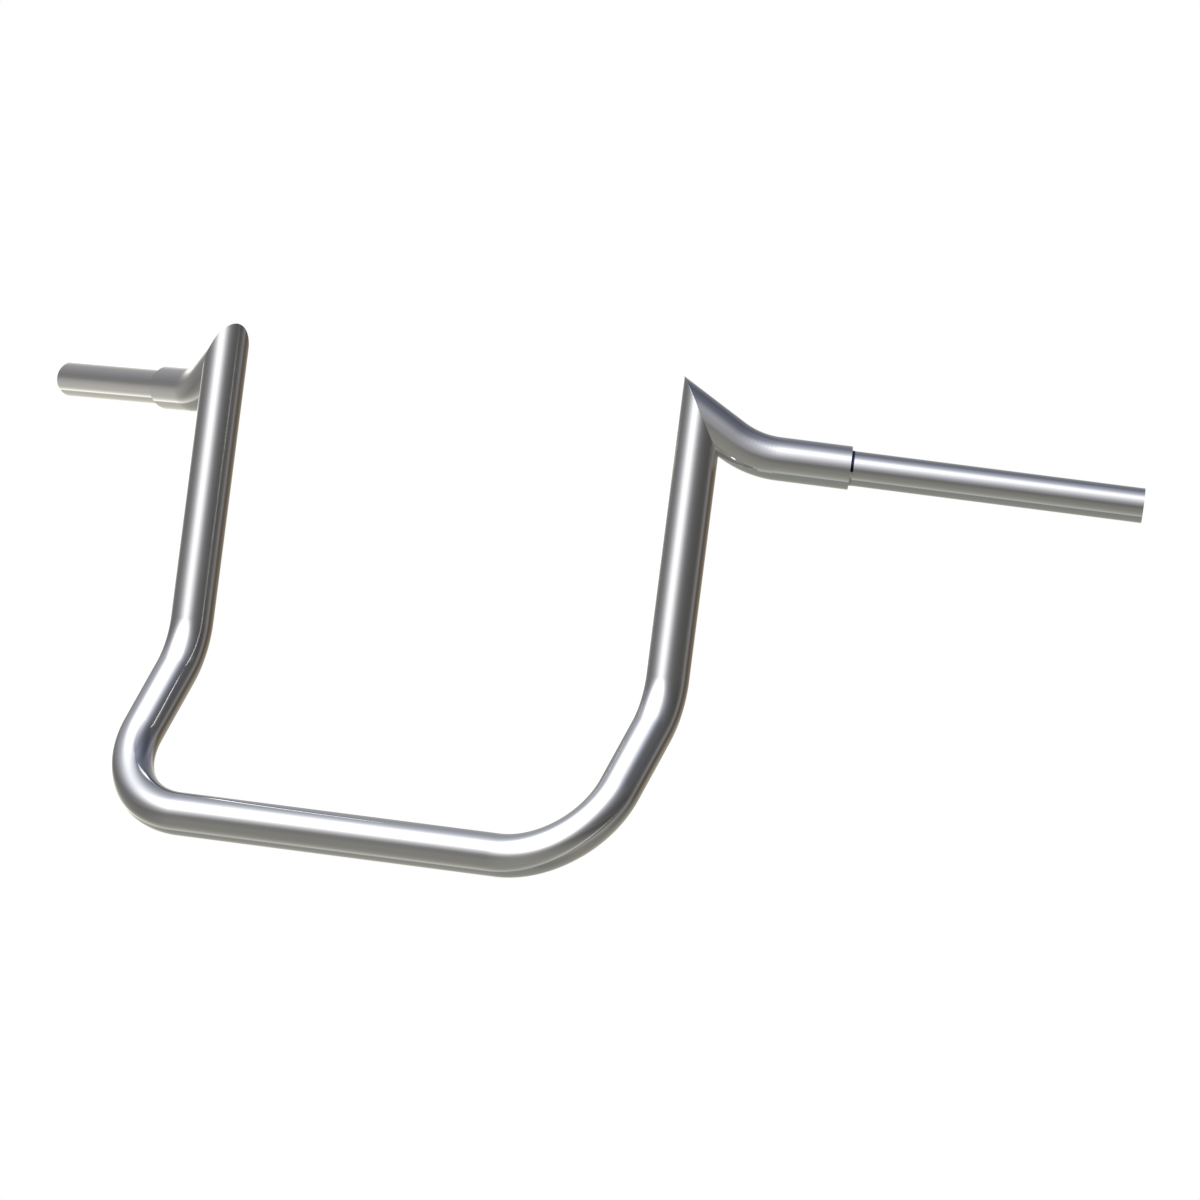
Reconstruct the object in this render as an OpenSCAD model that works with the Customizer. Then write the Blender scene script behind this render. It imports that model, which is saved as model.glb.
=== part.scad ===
/* [Fat tube] */
// Outside diameter of the fat tube
tube_od = 31.75; // [28:0.25:38]
// Wall of the fat tube
tube_wall = 3.05; // [2:0.05:4]
// Centreline radius of every bend
bend_radius = 70; // [50:1:90]

/* [Base] */
// Distance between the centrelines of the two risers
riser_spacing = 422; // [300:1:560]
// Straight length of each slant, between its two bends
slant_straight = 54; // [10:1:150]
// Lean of the slants, rearward from upleft
slant_lean = 35; // [10:1:50]
// Straight length of each riser, from its bend to the middle of its mitre
riser_straight = 190.5; // [60:0.5:400]

/* [Arms] */
// Sweep of the arms, rearward from straight across
arm_sweep = 35; // [0:1:50]
// Fall of the arms below level, between mitre and arm bend
arm_fall = 30; // [15:1:45]
// Straight length left on an arm between the mitre's inner corner and the arm bend
arm_straight = 0.5; // [0.5:0.5:30]
// Level length of an arm, from its bend to the collar face
collar_straight = 52; // [52:1:120]

/* [Grip tubes] */
// Wall of the grip tube
grip_wall = 3.05; // [1.5:0.05:4]
// Gap all round between the grip tube and the bore of the arm
grip_gap = 0.125; // [0.05:0.005:0.3]
// Length of grip tube that stands out of the collar
grip_length = 213; // [120:1:260]
// Length of grip tube that is held inside the collar
grip_insert = 48; // [25:1:50]

/* [Edges and welds] */
// Chamfer on the square-cut tube ends
edge_break = 0.4; // [0.2:0.1:0.8]
// Height of the weld fillet that closes the grip tube to the collar face
fillet_height = 0.5; // [0.3:0.1:1.2]
// Length of that fillet along the grip tube
fillet_length = 2.2; // [1:0.1:4]

/* [Hidden] */
$fn = 96;

tube_bore = tube_od - 2 * tube_wall;
grip_od = tube_bore - 2 * grip_gap;
grip_bore = grip_od - 2 * grip_wall;

bottom_straight = riser_spacing - 2 * bend_radius;

// The mitre's seam halves the angle between the riser and the falling arm
mitre_angle = (90 - arm_fall) / 2;
// Length of tube that the slanted cut takes up on each side of the mitre's middle
mitre_reach = tube_od / 2 / tan(mitre_angle);

// Distance along a slant between the corners that its two bends round off
slant_corners = slant_straight + bend_radius * (tan(45) + tan(slant_lean / 2));
// Where the risers stand behind the bottom bar, and where their straight lengths start
riser_back = slant_corners * sin(slant_lean);
riser_start = slant_corners * cos(slant_lean) + bend_radius * tan(slant_lean / 2);
mitre_height = riser_start + riser_straight;

// Where an arm turns level and where its collar face lies, out from the middle of the mitre
arm_corner = mitre_reach + arm_straight + bend_radius * tan(arm_fall / 2);
level_start = arm_corner * cos(arm_fall) + bend_radius * tan(arm_fall / 2);
collar_out = level_start + collar_straight;
collar_drop = arm_corner * sin(arm_fall);

// Spare length on an end, and spare angle on a bend, before they are cut to their end planes
cut_spare = 10;
bend_spare = 15;

// Cross-section of the fat tube
module tube_section() {
    difference() {
        circle(d = tube_od);
        circle(d = tube_bore);
    }
}

// A straight length of fat tube along +Z. What follows starts at its far end.
module run(length) {
    linear_extrude(length) tube_section();
    translate([0, 0, length]) children();
}

// An arc of fat tube round the Y axis, which starts at -X and heads up
module arc(angle) {
    rotate([90, 0, 180])
        rotate_extrude(angle = angle)
            translate([bend_radius, 0]) tube_section();
}

// A bend round the Y axis, even about the XY plane. The first child follows its lower end and
// the second its upper end, each along its own +Z. The arc is swept too far and cut back to
// its upper end plane, so that all three meet face to face.
module bend(angle) {
    block = 2 * bend_radius;
    difference() {
        rotate([0, -angle / 2, 0]) arc(angle + bend_spare);
        rotate([0, angle / 2, 0])
            translate([-block, -block / 2, 0]) cube(block);
    }
    rotate([0, -angle / 2, 0]) translate([-bend_radius, 0, 0]) rotate([180, 0, 0]) children(0);
    rotate([0, angle / 2, 0]) translate([-bend_radius, 0, 0]) children(1);
}

// A quarter bend from +Z towards +X. What follows starts at its far end.
module quarter_bend() {
    translate([bend_radius, 0, 0]) {
        arc(90);
        rotate([0, 90, 0]) translate([-bend_radius, 0, 0]) children();
    }
}

// The end of an arm along +Z, cut square, with its outer edge chamfered
module collar() {
    rotate_extrude()
        polygon([
            [tube_bore / 2, 0],
            [tube_od / 2, 0],
            [tube_od / 2, collar_straight - edge_break],
            [tube_od / 2 - edge_break, collar_straight],
            [tube_bore / 2, collar_straight],
        ]);
}

// A grip tube along +Z, which starts inside the collar. Both ends are cut square and chamfered,
// and the weld fillet stands on it just outside the collar face.
module grip_tube() {
    outer = grip_od / 2;
    inner = grip_bore / 2;
    rotate_extrude()
        polygon([
            [inner + edge_break, -grip_insert],
            [outer - edge_break, -grip_insert],
            [outer, edge_break - grip_insert],
            [outer, 0],
            [outer + fillet_height, 0],
            [outer, fillet_length],
            [outer, grip_length - edge_break],
            [outer - edge_break, grip_length],
            [inner + edge_break, grip_length],
            [inner, grip_length - edge_break],
            [inner, edge_break - grip_insert],
        ]);
}

// Left and right are the rider's, who looks towards -Y, so the left side is the one at +X.
// Starts at the middle of the left mitre, with +X along the arm's sweep
module at_mitre() {
    translate([riser_spacing / 2, riser_back, mitre_height])
        rotate([0, 0, arm_sweep]) children();
}

// What lies on one side of the left mitre's seam: 1 is the arm's side, -1 the riser's
module seam_side(side) {
    size = 6 * tube_od;
    at_mitre() rotate([0, -mitre_angle, 0])
        translate([side * size / 2, 0, 0]) cube(size, center = true);
}

// Left half of the base tube, laid out both ways from its upper bend: down the slant, round
// the lower bend and along the bottom bar to the middle, and up the riser to the mitre
module left_half() {
    middle = 4 * tube_od;
    difference() {
        translate([riser_spacing / 2, riser_back - bend_radius, riser_start])
            rotate([-slant_lean / 2, 0, 0]) rotate([0, 0, -90])
            bend(slant_lean) {
                run(slant_straight) rotate([0, 0, 90])
                    quarter_bend() run(bottom_straight / 2 + cut_spare);
                run(riser_straight + mitre_reach + cut_spare);
            }
        seam_side(1);
        translate([-middle, -middle / 2, -middle / 2]) cube(middle);
    }
}

// The U of fat tube: bottom bar, slants and risers bent from one length
module base_tube() {
    color("silver") {
        left_half();
        mirror([1, 0, 0]) left_half();
    }
}

// Fat tube laid out both ways from its bend: back up to the mitre, and level to the collar
module left_arm_tube() {
    color("lightgray") difference() {
        at_mitre() translate([level_start, 0, bend_radius - collar_drop])
            rotate([0, 90 + arm_fall / 2, 0]) rotate([0, 0, 180])
            bend(arm_fall) {
                run(arm_straight + 2 * mitre_reach + cut_spare);
                collar();
            }
        seam_side(-1);
    }
}

module right_arm_tube() {
    mirror([1, 0, 0]) left_arm_tube();
}

// Thinner tube that a grip slides onto, set into the bore of the arm
module left_grip_tube() {
    color("gainsboro")
        at_mitre() translate([collar_out, 0, -collar_drop]) rotate([0, 90, 0]) grip_tube();
}

module right_grip_tube() {
    mirror([1, 0, 0]) left_grip_tube();
}

base_tube();
left_arm_tube();
right_arm_tube();
left_grip_tube();
right_grip_tube();
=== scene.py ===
import math

import bmesh
import bpy
from mathutils import Matrix, Quaternion, Vector


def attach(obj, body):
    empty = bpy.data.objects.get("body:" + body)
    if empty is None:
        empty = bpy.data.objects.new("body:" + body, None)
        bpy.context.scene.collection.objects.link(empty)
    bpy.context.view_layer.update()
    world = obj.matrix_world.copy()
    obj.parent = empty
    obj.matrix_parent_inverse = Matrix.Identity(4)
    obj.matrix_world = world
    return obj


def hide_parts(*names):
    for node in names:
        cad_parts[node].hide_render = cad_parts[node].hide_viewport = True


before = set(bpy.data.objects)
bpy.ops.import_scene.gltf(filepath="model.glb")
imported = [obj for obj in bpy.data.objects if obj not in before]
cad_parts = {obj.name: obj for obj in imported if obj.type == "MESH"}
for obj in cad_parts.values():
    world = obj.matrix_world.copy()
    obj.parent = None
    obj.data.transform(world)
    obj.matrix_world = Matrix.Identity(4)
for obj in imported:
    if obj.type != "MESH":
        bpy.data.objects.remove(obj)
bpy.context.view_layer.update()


# Base tube: one length of stainless tube, bent four times into risers, slants and bottom bar.
# It is polished while it is straight, all but the risers, which stay satin. The top of each
# riser is cut to half the angle between riser and arm, and ground flush after welding.
quarter_turn = math.radians(90)
tube_radius = 0.03175 / 2
tube_wall = 0.00305
bend_radius = 0.070
riser_side = 0.211
slant_lean = math.radians(35)
slant_straight = 0.054
riser_straight = 0.1905
arm_sweep = math.radians(35)
arm_fall = math.radians(30)

up = Vector((0, 0, 1))
front = Vector((0, -1, 0))
left = Vector((1, 0, 0))
right = Vector((-1, 0, 0))
slant_up = Vector((0, math.sin(slant_lean), math.cos(slant_lean)))
slant_front = Vector((0, -math.cos(slant_lean), math.sin(slant_lean)))

slant_corners = slant_straight + bend_radius * (1 + math.tan(slant_lean / 2))
riser_back = slant_corners * math.sin(slant_lean)
riser_start = slant_corners * math.cos(slant_lean) + bend_radius * math.tan(slant_lean / 2)
mitre_height = riser_start + riser_straight
mitre_angle = (quarter_turn - arm_fall) / 2
mitre_reach = tube_radius / math.tan(mitre_angle)
cut_spare = 0.010
riser_length = riser_straight + mitre_reach + cut_spare

sides_round = 96
bend_step = math.radians(2.5)
seam_break = 0.00012
break_steps = 2
sharp_angle = math.radians(20)
smooth_angle = math.radians(32)
on_the_face = 1e-6


def take_up(piece):
    """Select one piece alone, for the next tools to work on."""
    bpy.ops.object.select_all(action='DESELECT')
    piece.select_set(True)
    bpy.context.view_layer.objects.active = piece


def lay_first_ring(name, point, heading, across):
    """Start a tube with one ring, square to its heading, and open it for editing."""
    bpy.ops.object.select_all(action='DESELECT')
    square = Matrix((across, heading.cross(across), heading)).transposed()
    bpy.ops.mesh.primitive_circle_add(
        vertices=sides_round, radius=tube_radius, location=point, rotation=square.to_euler())
    piece = bpy.context.object
    piece.name = name
    piece.data.name = name
    bpy.ops.object.transform_apply(location=True, rotation=True, scale=True)
    piece.data.attributes.new("straight", 'FLOAT_VECTOR', 'POINT')
    bpy.ops.object.mode_set(mode='EDIT')
    tube = {"piece": piece, "point": point, "heading": heading, "across": across, "fed": 0.0}
    mark_ring(tube)
    return tube


def mark_ring(tube):
    """Note on the newest ring where it lay while the tube was straight, for the grain."""
    rings = bmesh.from_edit_mesh(tube["piece"].data)
    mark = rings.verts.layers.float_vector["straight"]
    beside = tube["heading"].cross(tube["across"])
    for corner in rings.verts:
        if corner.select:
            out = corner.co - tube["point"]
            corner[mark] = (out.dot(tube["across"]), out.dot(beside), tube["fed"])


def feed_straight(tube, length):
    """Push a straight length out along the heading."""
    push = tube["heading"] * length
    bpy.ops.mesh.extrude_region_move(TRANSFORM_OT_translate={"value": push})
    tube["point"] = tube["point"] + push
    tube["fed"] += length
    mark_ring(tube)


def bend_towards(tube, side, angle):
    """Bend the tube round a centre on one side of it, a ring for each step of the bender."""
    centre = tube["point"] + side * bend_radius
    axis = tube["heading"].cross(side)
    steps = round(angle / bend_step)
    turn = Quaternion(axis, angle / steps)
    for _ in range(steps):
        # spin turns clockwise about its axis
        bpy.ops.mesh.spin(steps=1, angle=angle / steps, center=centre, axis=-axis)
        tube["point"] = centre + turn @ (tube["point"] - centre)
        tube["heading"] = turn @ tube["heading"]
        tube["across"] = turn @ tube["across"]
        tube["fed"] += bend_radius * angle / steps
        mark_ring(tube)


def give_wall(tube):
    """Turn the bent skin into a tube with a wall, open at both ends."""
    bpy.ops.mesh.select_all(action='SELECT')
    bpy.ops.mesh.normals_make_consistent(inside=False)
    bpy.ops.object.mode_set(mode='OBJECT')
    wall = tube["piece"].modifiers.new("wall", 'SOLIDIFY')
    wall.thickness = tube_wall
    wall.offset = -1
    wall.use_even_offset = True
    bpy.ops.object.modifier_apply(modifier="wall")
    return tube["piece"]


def mitre_point(side):
    """Where the middle lines of riser and arm meet, on the left (1) or the right (-1)."""
    return Vector((side * riser_side, riser_back, mitre_height))


def outward(side):
    """The level way out along one arm, swept back."""
    return Vector((side * math.cos(arm_sweep), math.sin(arm_sweep), 0))


def seam_normal(side):
    """Square to the mitre's seam, on the arm's side."""
    return math.cos(mitre_angle) * outward(side) + math.sin(mitre_angle) * up


def cut_mitre(piece, side, keep_riser):
    """Cut the wall along the mitre of one side, and close the cut with a flat face."""
    take_up(piece)
    bpy.ops.object.mode_set(mode='EDIT')
    bpy.ops.mesh.select_all(action='SELECT')
    bpy.ops.mesh.bisect(
        plane_co=mitre_point(side), plane_no=seam_normal(side),
        clear_outer=keep_riser, clear_inner=not keep_riser)
    bpy.ops.mesh.bridge_edge_loops()
    bpy.ops.object.mode_set(mode='OBJECT')


def break_edges(piece, near, square_to, width):
    """Break the sharp edges of the flat face that lies at a point, square to a direction."""
    take_up(piece)
    bpy.ops.object.mode_set(mode='EDIT')
    bpy.ops.mesh.select_all(action='DESELECT')
    shell = bmesh.from_edit_mesh(piece.data)
    for edge in shell.edges:
        flat = all(abs((end.co - near).dot(square_to)) < on_the_face for end in edge.verts)
        edge.select = flat and edge.calc_face_angle(0) > sharp_angle
    bmesh.update_edit_mesh(piece.data)
    bpy.ops.mesh.bevel(offset=width, segments=break_steps, affect='EDGES')
    bpy.ops.object.mode_set(mode='OBJECT')


def smooth_faces(piece):
    """Shade the round faces smooth, with the large faces setting the direction."""
    take_up(piece)
    bpy.ops.object.shade_smooth_by_angle(angle=smooth_angle)
    weigh = piece.modifiers.new("weigh", 'WEIGHTED_NORMAL')
    weigh.keep_sharp = True
    bpy.ops.object.modifier_apply(modifier="weigh")


def set_sockets(tree, node, inputs):
    """Put values or links on a shader node's sockets."""
    for name, value in inputs.items():
        if isinstance(value, bpy.types.NodeSocket):
            tree.links.new(value, node.inputs[name])
        else:
            node.inputs[name].default_value = value


def add_node(tree, kind, inputs=None, **settings):
    """Add a shader node, with its settings and with values or links on its sockets."""
    made = tree.nodes.new(kind)
    for name, value in settings.items():
        setattr(made, name, value)
    set_sockets(tree, made, inputs or {})
    return made


def reckon(tree, operation, *values):
    """The outcome of one sum in a shader."""
    return add_node(tree, 'ShaderNodeMath', dict(enumerate(values)), operation=operation).outputs[0]


def ease(tree, value, start, end, low=0.0, high=1.0):
    """Turn a value's run from start to end into one from low to high, held beyond the ends."""
    eased = add_node(tree, 'ShaderNodeMapRange', {
        "Value": value, "From Min": start, "From Max": end, "To Min": low, "To Max": high})
    return eased.outputs["Result"]


def speckle(tree, place, scale, detail):
    """A soft random pattern over places, finer with a higher scale."""
    noise = add_node(tree, 'ShaderNodeTexNoise', {"Vector": place, "Scale": scale, "Detail": detail})
    return noise.outputs["Fac"]


def colour_along(tree, value, first, *between, last):
    """The colour that a value from 0 to 1 meets on a run of colours, each with its place."""
    run = add_node(tree, 'ShaderNodeValToRGB', {"Fac": value})
    stops = run.color_ramp.elements
    for stop, (place, tone) in ((stops[0], first), (stops[1], last)):
        stop.position = place
        stop.color = (*tone, 1)
    for place, tone in between:
        stops.new(place).color = (*tone, 1)
    return run.outputs["Color"]


def new_material(name):
    """A material, its tree and its surface, ready for a finish."""
    made = bpy.data.materials.new(name)
    made.use_nodes = True
    return made, made.node_tree, made.node_tree.nodes["Principled BSDF"]


line_scale = 2600
line_stretch = 0.03
speck_scale = 1300
cloud_scale = 38
cloud_low, cloud_high = 0.3, 0.7
grain_depth = 0.00006
polished_grain, satin_grain = 0.025, 0.10
clear_rough, cloudy_rough = 0.055, 0.10
satin_rough = 0.085
satin_fade = 0.03
never_satin = 10.0
dull_tone = (0.69, 0.69, 0.70)
bright_tone = (0.75, 0.75, 0.76)


def polished_steel(name, middle=0.0, satin_from=never_satin):
    """Stainless steel, polished with a fine belt along the tube while it was straight. Beyond
    a distance from its middle the tube is left satin, with a coarser grain."""
    steel, tree, surface = new_material(name)
    straight = add_node(tree, 'ShaderNodeAttribute', attribute_name="straight").outputs["Vector"]
    stretched = add_node(tree, 'ShaderNodeMapping', {
        "Vector": straight, "Scale": (1, 1, line_stretch)})
    lines = speckle(tree, stretched.outputs["Vector"], line_scale, detail=3)
    specks = speckle(tree, straight, speck_scale, detail=2)
    clouds = speckle(tree, straight, cloud_scale, detail=4)
    along = add_node(tree, 'ShaderNodeSeparateXYZ', {"Vector": straight}).outputs["Z"]
    from_middle = reckon(tree, 'ABSOLUTE', reckon(tree, 'SUBTRACT', along, middle))
    satin = ease(tree, from_middle, satin_from - satin_fade, satin_from + satin_fade)
    cloudy = ease(tree, clouds, cloud_low, cloud_high, clear_rough, cloudy_rough)
    grain = add_node(tree, 'ShaderNodeBump', {
        "Height": reckon(tree, 'ADD', specks, lines),
        "Strength": ease(tree, satin, 0, 1, polished_grain, satin_grain),
        "Distance": grain_depth})
    set_sockets(tree, surface, {
        "Metallic": 1,
        "Base Color": colour_along(tree, lines, (0, dull_tone), last=(1, bright_tone)),
        "Roughness": reckon(tree, 'MULTIPLY_ADD', satin, satin_rough, cloudy),
        "Normal": grain.outputs["Normal"]})
    return steel


def stand_for(piece, node):
    """Give a finished piece its ride, and hide the CAD node that it stands for."""
    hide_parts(node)
    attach(piece, "root")


base = lay_first_ring("bent_base", mitre_point(1) + up * (mitre_reach + cut_spare), -up, left)
feed_straight(base, riser_length)
bend_towards(base, front, slant_lean)
feed_straight(base, slant_straight)
bend_towards(base, right, quarter_turn)
feed_straight(base, 2 * (riser_side - bend_radius))
bend_towards(base, slant_up, quarter_turn)
feed_straight(base, slant_straight)
bend_towards(base, slant_front, slant_lean)
feed_straight(base, riser_length)
bent_base = give_wall(base)
for side in (1, -1):
    cut_mitre(bent_base, side, keep_riser=True)
    break_edges(bent_base, mitre_point(side), seam_normal(side), seam_break)
smooth_faces(bent_base)
base_middle = base["fed"] / 2
bent_base.data.materials.append(polished_steel(
    "base_steel", middle=base_middle, satin_from=base_middle - riser_length))
stand_for(bent_base, "base_tube")


# Arms: the same fat tube, mitred to the risers, falling outward to one bend and then level to
# a collar. The collar's end is cut square and its edges are broken with a file. The right arm
# is the left one mirrored.
arm_straight = 0.0005
collar_straight = 0.052
collar_break = 0.0004


def mirrored_copy(piece, name):
    """Copy a piece to the other side of the bar, with its faces outward again."""
    copy = piece.copy()
    copy.data = piece.data.copy()
    copy.name = name
    copy.data.name = name
    bpy.context.collection.objects.link(copy)
    copy.scale.x = -1
    take_up(copy)
    bpy.ops.object.transform_apply(location=False, rotation=False, scale=True)
    bpy.ops.object.mode_set(mode='EDIT')
    bpy.ops.mesh.select_all(action='SELECT')
    bpy.ops.mesh.normals_make_consistent(inside=False)
    bpy.ops.object.mode_set(mode='OBJECT')
    return copy


falling = math.cos(arm_fall) * outward(1) - math.sin(arm_fall) * up
above = math.sin(arm_fall) * outward(1) + math.cos(arm_fall) * up
arm = lay_first_ring(
    "left_arm", mitre_point(1) - falling * (mitre_reach + cut_spare), falling, above)
feed_straight(arm, 2 * mitre_reach + cut_spare + arm_straight)
bend_towards(arm, above, arm_fall)
feed_straight(arm, collar_straight)
collar_point = arm["point"]
left_arm = give_wall(arm)
cut_mitre(left_arm, 1, keep_riser=False)
break_edges(left_arm, mitre_point(1), seam_normal(1), seam_break)
break_edges(left_arm, collar_point, outward(1), collar_break)
right_arm = mirrored_copy(left_arm, "right_arm")
# the left arm's faces are still flat, and want the same smoothing
smooth_faces(right_arm)
arm_steel = polished_steel("arm_steel")
for piece, node in ((left_arm, "left_arm_tube"), (right_arm, "right_arm_tube")):
    piece.data.materials.append(arm_steel)
    stand_for(piece, node)


# Grip tubes: 25.4 mm tube, slid into the collars and welded there with a fine fillet, whose colour
# is painted shade and dark reflection, dark blue on top. The open ends are cut square and broken.
grip_radius = 0.0127
grip_bore = 0.00965
grip_insert = 0.048
grip_length = 0.213
grip_break = 0.0004
fillet_height = 0.0005
fillet_length = 0.0022
fillet_steps = 6
same_corner = 0.000001
skin_share = 0.99

weld_rough = 0.28
# the weld's painted shade and dark reflection: the height it spreads over, and its colours from the
# underside to the top
shade_reach = 0.004
ripple_scale = 900
ripple_strength = 0.4
ripple_depth = 0.0001
unshaded_steel = (0.62, 0.63, 0.58)
shade_black = (0.015, 0.015, 0.012)
shade_blue_black = (0.015, 0.018, 0.03)
shade_deep_blue = (0.035, 0.06, 0.14)


def turn_profile(name, profile):
    """Draw a turned piece: a ring round Z, pulled from each point of the profile to the next."""
    bpy.ops.object.select_all(action='DESELECT')
    radius, along = profile[0]
    bpy.ops.mesh.primitive_circle_add(vertices=sides_round, radius=radius, location=(0, 0, along))
    piece = bpy.context.object
    piece.name = name
    piece.data.name = name
    bpy.ops.object.transform_apply(location=True, rotation=True, scale=True)
    bpy.ops.object.mode_set(mode='EDIT')
    for next_radius, next_along in profile[1:] + profile[:1]:
        bpy.ops.mesh.extrude_region_move(
            TRANSFORM_OT_translate={"value": (0, 0, next_along - along)})
        grow = next_radius / radius
        bpy.ops.transform.resize(value=(grow, grow, 1), center_override=(0, 0, next_along))
        radius, along = next_radius, next_along
    bpy.ops.mesh.select_all(action='SELECT')
    bpy.ops.mesh.remove_doubles(threshold=same_corner)
    bpy.ops.mesh.normals_make_consistent(inside=False)
    bpy.ops.object.mode_set(mode='OBJECT')
    return piece


def hollow_fillet():
    """Points of the fillet's hollow curve, from the collar's face down onto the grip tube."""
    for step in range(fillet_steps + 1):
        swing = quarter_turn * step / fillet_steps
        yield (grip_radius + fillet_height * (1 - math.sin(swing)),
               fillet_length * (1 - math.cos(swing)))


def weld_painted_shade():
    """Steel at the weld, coloured by height with painted shade and dark reflection: plain steel
    underneath, then black, then dark blue on top.
    """
    weld, tree, surface = new_material("weld_painted_shade")
    place = add_node(tree, 'ShaderNodeTexCoord').outputs["Object"]
    height = add_node(tree, 'ShaderNodeSeparateXYZ', {"Vector": place}).outputs["Z"]
    level = ease(tree, height, collar_point.z - shade_reach, collar_point.z + shade_reach)
    ripple = add_node(tree, 'ShaderNodeBump', {
        "Height": speckle(tree, place, ripple_scale, detail=2),
        "Strength": ripple_strength,
        "Distance": ripple_depth})
    set_sockets(tree, surface, {
        "Metallic": 1,
        "Base Color": colour_along(
            tree, level, (0.11, unshaded_steel), (0.17, shade_black), (0.55, shade_blue_black),
            last=(0.85, shade_deep_blue)),
        "Roughness": weld_rough,
        "Normal": ripple.outputs["Normal"]})
    return weld


left_grip = turn_profile("left_grip", [
    (grip_radius, -grip_insert),
    (grip_radius, 0),
    *hollow_fillet(),
    (grip_radius, grip_length),
    (grip_bore, grip_length),
    (grip_bore, -grip_insert),
])
for end in (-grip_insert, grip_length):
    break_edges(left_grip, Vector((0, 0, end)), up, grip_break)
marks = left_grip.data.attributes.new("straight", 'FLOAT_VECTOR', 'POINT')
for corner, mark in zip(left_grip.data.vertices, marks.data):
    mark.vector = corner.co
left_grip.data.materials.append(arm_steel)
# the fillet's faces take the steel with painted shade and dark reflection
left_grip.data.materials.append(weld_painted_shade())
for face in left_grip.data.polygons:
    outside = face.center.xy.length > grip_radius * skin_share
    if outside and 0 < face.center.z < fillet_length:
        face.material_index = 1
take_up(left_grip)
into_collar = Matrix((up, outward(1).cross(up), outward(1))).transposed().to_4x4()
left_grip.matrix_world = Matrix.Translation(collar_point) @ into_collar
bpy.ops.object.transform_apply(location=True, rotation=True, scale=True)
right_grip = mirrored_copy(left_grip, "right_grip")
for piece, node in ((left_grip, "left_grip_tube"), (right_grip, "right_grip_tube")):
    smooth_faces(piece)
    stand_for(piece, node)


# Camera: far off with a long lens, in front of the bar and to its left, almost level with it
# and rolled a little, as in the photograph.
camera_azimuth = math.radians(34.24)
camera_level = math.radians(-0.48)
camera_roll = math.radians(7.32)
camera_distance = 18.34
camera_aim = Vector((0.1361, 0.0954, 0.1920))
camera_lens = 761.6
camera_sensor = 36
camera_reach = 60

view_right = Vector((math.cos(camera_azimuth), math.sin(camera_azimuth), 0))
view_back = Vector((
    math.sin(camera_azimuth) * math.cos(camera_level),
    -math.cos(camera_azimuth) * math.cos(camera_level),
    math.sin(camera_level)))
level_axes = Matrix((view_right, view_back.cross(view_right), view_back)).transposed()
rolled_axes = level_axes @ Matrix.Rotation(camera_roll, 3, 'Z')
camera = bpy.data.objects.new("camera", bpy.data.cameras.new("camera"))
bpy.context.collection.objects.link(camera)
camera.matrix_world = (
    Matrix.Translation(camera_aim + view_back * camera_distance) @ rolled_axes.to_4x4())
camera.data.sensor_width = camera_sensor
camera.data.lens = camera_lens
camera.data.clip_end = camera_reach
bpy.context.scene.camera = camera


# Floor: a plain sheet of pale paper, laid flat well below the bar and out of the camera's
# frame. The metal doesn't mirror it, as the tent has a floor of its own.
floor_size = 9
floor_level = -0.55
paper_tone = (0.82, 0.82, 0.81, 1)
paper_rough = 0.8

bpy.ops.object.select_all(action='DESELECT')
bpy.ops.mesh.primitive_plane_add(size=floor_size, location=(0, 0, floor_level))
floor = bpy.context.object
floor.name = "floor"
floor.visible_glossy = False
paper, paper_tree, paper_surface = new_material("pale_paper")
set_sockets(paper_tree, paper_surface, {"Base Color": paper_tone, "Roughness": paper_rough})
floor.data.materials.append(paper)


# Tent: soft cloth round the bar, seen only in the metal, that glows with painted light and shade in
# place of a room's reflections. Its floor is warm grey, its roof cool grey, its right side painted
# dark, and a painted glow in front, on the left, stands for the softbox. Its azimuths and elevations
# are in degrees, to the right of the camera and up.
tent_radius = 20
tent_middle = Vector((0, 0.13, 0.17))
tent_brightest = (3, 3, 3)

# the tent's material: painted light and shade that glows, seen only in the metal
painted_tent = bpy.data.materials.new("painted_tent")
painted_tent.use_nodes = True
cloth_tree = painted_tent.node_tree
cloth_tree.nodes.clear()
cloth_place = add_node(cloth_tree, 'ShaderNodeTexCoord').outputs["Object"]
cloth_way = add_node(
    cloth_tree, 'ShaderNodeVectorMath', {0: cloth_place}, operation='NORMALIZE').outputs[0]


def direction(azimuth, elevation):
    """The way from the bar to a place on the tent."""
    turn = math.radians(azimuth)
    level = math.cos(math.radians(elevation))
    towards = view_back.copy()
    towards.z = 0
    towards.normalize()
    flat = towards * math.cos(turn) + view_right * math.sin(turn)
    return flat * level + up * math.sin(math.radians(elevation))


def share_of(axis):
    """How far the cloth's way runs along an axis, from -1 to 1."""
    return add_node(cloth_tree, 'ShaderNodeVectorMath', {
        0: cloth_way, 1: tuple(axis)}, operation='DOT_PRODUCT').outputs["Value"]


def number(operation, *values):
    """The outcome of a sum on the cloth's numbers."""
    return reckon(cloth_tree, operation, *values)


def colour(operation, first, second):
    """The outcome of a sum on two of the cloth's colours."""
    return add_node(
        cloth_tree, 'ShaderNodeVectorMath', {0: first, 1: second}, operation=operation).outputs[0]


def dimmed(tone, share):
    """A tone, scaled by a number that changes over the cloth."""
    return add_node(
        cloth_tree, 'ShaderNodeVectorMath', {0: tone, "Scale": share}, operation='SCALE').outputs[0]


cloth_height = share_of(up)
cloth_right = share_of(direction(90, 0))
cloth_near = share_of(direction(0, 0))
cloth_elevation = number('DEGREES', number('ARCSINE', cloth_height))
cloth_azimuth = number('DEGREES', number('ARCTAN2', cloth_right, cloth_near))


def bell(squared):
    """One at the middle of a patch, and fading out by the square of the way from it."""
    return number('EXPONENT', number('MULTIPLY', squared, -0.5))


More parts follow.
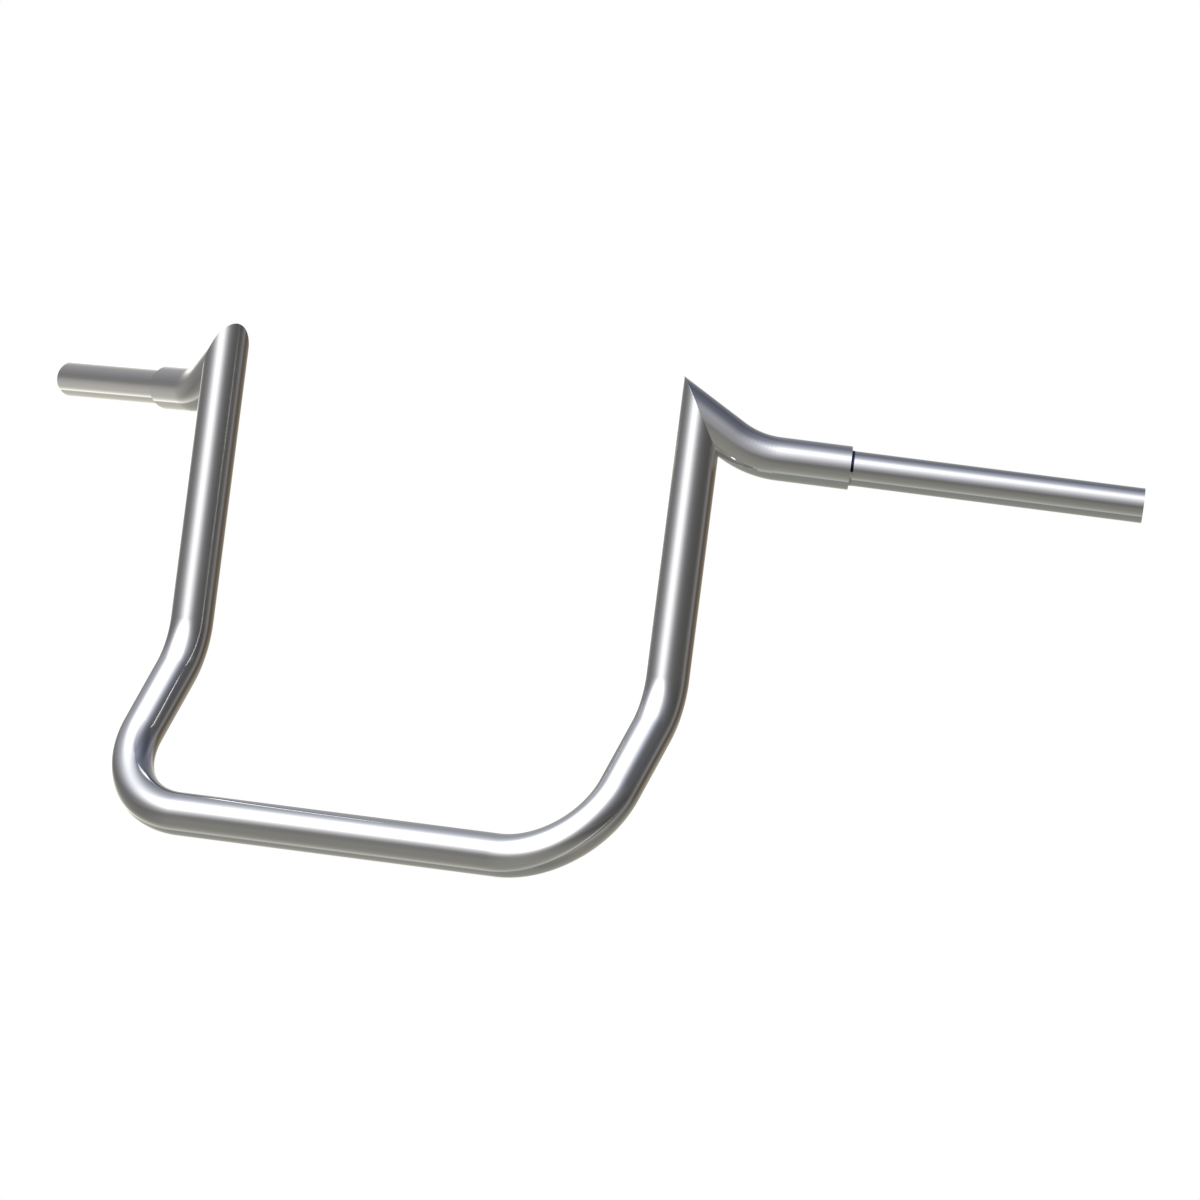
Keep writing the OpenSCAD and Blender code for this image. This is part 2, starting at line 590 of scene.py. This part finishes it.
def patch(at, wide, tall, drift=0.0):
    """A soft patch round a place; with drift, its middle moves sideways as it goes down."""
    side, level = at
    off_level = number('SUBTRACT', cloth_elevation, level)
    middle = number('MULTIPLY_ADD', off_level, -drift, side)
    off_side = number('WRAP', number('SUBTRACT', cloth_azimuth, middle), -180.0, 180.0)
    across = number('POWER', number('ABSOLUTE', number('DIVIDE', off_side, wide)), 2.0)
    upright = number('POWER', number('ABSOLUTE', number('DIVIDE', off_level, tall)), 2.0)
    return bell(number('ADD', across, upright))


def glow(at, wide):
    """A round glow on a place, wherever it lies."""
    apart = number('DEGREES', number('ARCCOSINE', share_of(direction(*at))))
    return bell(number('POWER', number('DIVIDE', apart, wide), 2.0))


# the tent's painted light and shade before its patches, from straight down (0) to straight up (1)
painted_light = colour_along(
    cloth_tree, number('MULTIPLY_ADD', cloth_height, 0.5, 0.5),
    (0.0, (0.233, 0.258, 0.235)),
    (0.10, (0.342, 0.331, 0.289)),
    (0.25, (0.322, 0.316, 0.286)),
    (0.42, (0.178, 0.178, 0.162)),
    (0.50, (0.254, 0.249, 0.237)),
    (0.58, (0.252, 0.240, 0.238)),
    (0.75, (0.498, 0.508, 0.525)),
    last=(1.0, (0.064, 0.076, 0.122)))

# each shade is a patch, and the share of red, green and blue that it takes away
for spread, depth in (
        (patch((68, 40), wide=75, tall=52), (0.78, 0.78, 0.78)),
        (patch((112, 43), wide=26, tall=14), (0.34, 0.26, 0.0)),
        (patch((141, 7), wide=15, tall=4, drift=-5.0), (0.94, 0.94, 0.97)),
        (patch((134, 0.6), wide=26, tall=4.4), (0.93, 0.95, 0.97)),
        (patch((106.5, 0.6), wide=7.5, tall=5), (0.99, 0.99, 1.0)),
        (patch((-141, 3), wide=14, tall=2.4), (0.20, 0.20, 0.20)),
        (patch((-146, 11), wide=18, tall=9), (0.13, 0.13, 0.13)),
        (patch((-111, 40), wide=26, tall=58), (0.67, 0.67, 0.67)),
):
    passed = colour('SUBTRACT', (1, 1, 1), dimmed(depth, spread))
    painted_light = colour('MULTIPLY', painted_light, passed)

# each light is a glow or a patch, its strength and its tone
for spread, strength, tone in (
        (glow((-47, 41.4), wide=16.6), 6.0, (1, 1, 1)),
        (glow((-32, 20.6), wide=16.4), 2.04, (1, 1, 1.01)),
        (glow((2, 50), wide=9), 0.50, (1, 1, 1)),
        (patch((-83, 71), wide=50, tall=36, drift=0.25), 0.75, (0.98, 1, 1.10)),
        (patch((22, 62), wide=17, tall=33, drift=-0.34), 0.19, (0.96, 1, 1.18)),
        (patch((-130, -12), wide=22, tall=8), 0.10, (1.02, 1, 0.96)),
        (patch((129, 100), wide=50, tall=27, drift=-1.7), 0.36, (0.93, 1, 1.22)),
        (patch((-170, 2), wide=13, tall=9.5, drift=0.8), 1.42, (1.01, 1, 0.92)),
        (patch((88, -6.6), wide=9.0, tall=36, drift=-0.79), 0.18, (1.05, 1, 1)),
        (patch((162, -14), wide=27, tall=19, drift=0.44), 0.265, (1.14, 1, 0.77)),
        (patch((136, 0), wide=20, tall=5), 0.028, (1.7, 1, 0.5)),
        (patch((150, 18), wide=14, tall=3.5), 0.20, (1.1, 1, 0.9)),
):
    painted_light = colour(
        'ADD', painted_light, dimmed(tuple(part * strength for part in tone), spread))

# a plainer, arched piece of the tent's painted floor behind the bar, with painted light beside its
# left edge
arch_softness = 0.05
arch_rise = 3.5
arch_strength = 0.85
arch_warmth = (1.03, 0.96, 0.82)
arch_grey = (0.272, 0.278, 0.252)
edge_width = 0.24
edge_rise = 3.1
edge_strength = 2.3
edge_least = 0.33
edge_warmth = (1.03, 1, 0.94)
least_below = 0.001
longest_run = 5.0
# the colour sockets of a Mix node, by number, as their names are shared
mix_from, mix_to, mix_result = 6, 7, 2

below = number('MAXIMUM', number('MULTIPLY', cloth_height, -1.0), least_below)
is_floor = number('LESS_THAN', cloth_height, 0.0)
floor_side = number('DIVIDE', cloth_right, below)
floor_near = number('DIVIDE', cloth_near, below)


def inside_edge(side, reach, tip, bow):
    """How far a place on the floor lies inside one edge of the arch."""
    run = number('DIVIDE', number('SUBTRACT', floor_near, tip), bow)
    curve = number('EXPONENT', number('MINIMUM', run, longest_run))
    edge = number('MULTIPLY_ADD', curve, -reach, reach)
    return number('SUBTRACT', edge, number('MULTIPLY', floor_side, side))


def crossed(inside):
    """From 0 outside an edge to 1 inside it."""
    return number('MULTIPLY_ADD', number('TANH', number('DIVIDE', inside, arch_softness)), 0.5, 0.5)


in_left = inside_edge(side=-1.0, reach=1.32, tip=0.12, bow=1.47)
in_right = inside_edge(side=1.0, reach=0.78, tip=0.09, bow=1.27)
arch = number('MULTIPLY', number('MULTIPLY', crossed(in_left), crossed(in_right)), is_floor)
arch_light = number('EXPONENT', number('MULTIPLY', cloth_height, arch_rise))
arch_far = dimmed(arch_warmth, number('MULTIPLY', arch_light, arch_strength))
arch_mix = add_node(cloth_tree, 'ShaderNodeMix', {
    "Factor": arch, mix_from: painted_light, mix_to: colour('ADD', arch_far, arch_grey)},
    data_type='RGBA')

edge_fade = number('EXPONENT', number('DIVIDE', number('MINIMUM', in_left, 0.0), edge_width))
beside = number('MULTIPLY', edge_fade, number('SUBTRACT', 1.0, crossed(in_left)))
edge_far = number('EXPONENT', number('MULTIPLY', cloth_height, edge_rise))
edge_light = number(
    'MULTIPLY', number('MULTIPLY', beside, is_floor),
    number('MULTIPLY_ADD', edge_far, edge_strength, edge_least))
painted_light = colour('ADD', arch_mix.outputs[mix_result], dimmed(edge_warmth, edge_light))
painted_light = colour('MINIMUM', painted_light, tent_brightest)
# the tent glows with this painted light and shade, though it is no lamp
painted_glow = add_node(cloth_tree, 'ShaderNodeEmission', {"Color": painted_light})
add_node(cloth_tree, 'ShaderNodeOutputMaterial', {"Surface": painted_glow.outputs[0]})

bpy.ops.object.select_all(action='DESELECT')
bpy.ops.mesh.primitive_uv_sphere_add(
    radius=tent_radius, segments=64, ring_count=32, location=tent_middle)
tent = bpy.context.object
tent.name = "tent"
tent.data.materials.append(painted_tent)
tent.visible_camera = False
tent.visible_diffuse = False
tent.visible_transmission = False
tent.visible_volume_scatter = False
tent.visible_shadow = False


# Softbox: one large soft lamp in front of the bar on the left, high up, behind the tent's painted
# glow. It lights the floor, and the metal mirrors the tent's painted glow in its place, not the
# lamp.
lamp_distance = 3.5
lamp_width = 1.6
lamp_power = 60
lamp_way = direction(-52, 39)

lamp = bpy.data.objects.new("softbox", bpy.data.lights.new("softbox", 'AREA'))
bpy.context.collection.objects.link(lamp)
lamp.location = tent_middle + lamp_way * lamp_distance
lamp.rotation_euler = lamp_way.to_track_quat('Z', 'Y').to_euler()
lamp.data.shape = 'DISK'
lamp.data.size = lamp_width
lamp.data.energy = lamp_power
lamp.visible_glossy = False


# Room: plain white. The camera, and rays that metal or glass sends on, find it pure white. The
# light that it throws on the floor is a little softer.
white = (1, 1, 1, 1)
floor_light = 0.75

room = bpy.data.worlds.new("room")
bpy.context.scene.world = room
room.use_nodes = True
room_tree = room.node_tree
room_tree.nodes.clear()
ray = add_node(room_tree, 'ShaderNodeLightPath').outputs
seen = reckon(room_tree, 'MAXIMUM', ray["Is Camera Ray"], ray["Is Glossy Ray"])
shown = reckon(room_tree, 'MAXIMUM', seen, ray["Is Transmission Ray"])
soft_room = add_node(room_tree, 'ShaderNodeBackground', {"Color": white, "Strength": floor_light})
pure_room = add_node(room_tree, 'ShaderNodeBackground', {"Color": white, "Strength": 1.0})
both_rooms = add_node(room_tree, 'ShaderNodeMixShader', {
    0: shown, 1: soft_room.outputs[0], 2: pure_room.outputs[0]})
add_node(room_tree, 'ShaderNodeOutputWorld', {"Surface": both_rooms.outputs[0]})
bpy.context.scene.view_settings.view_transform = 'Standard'
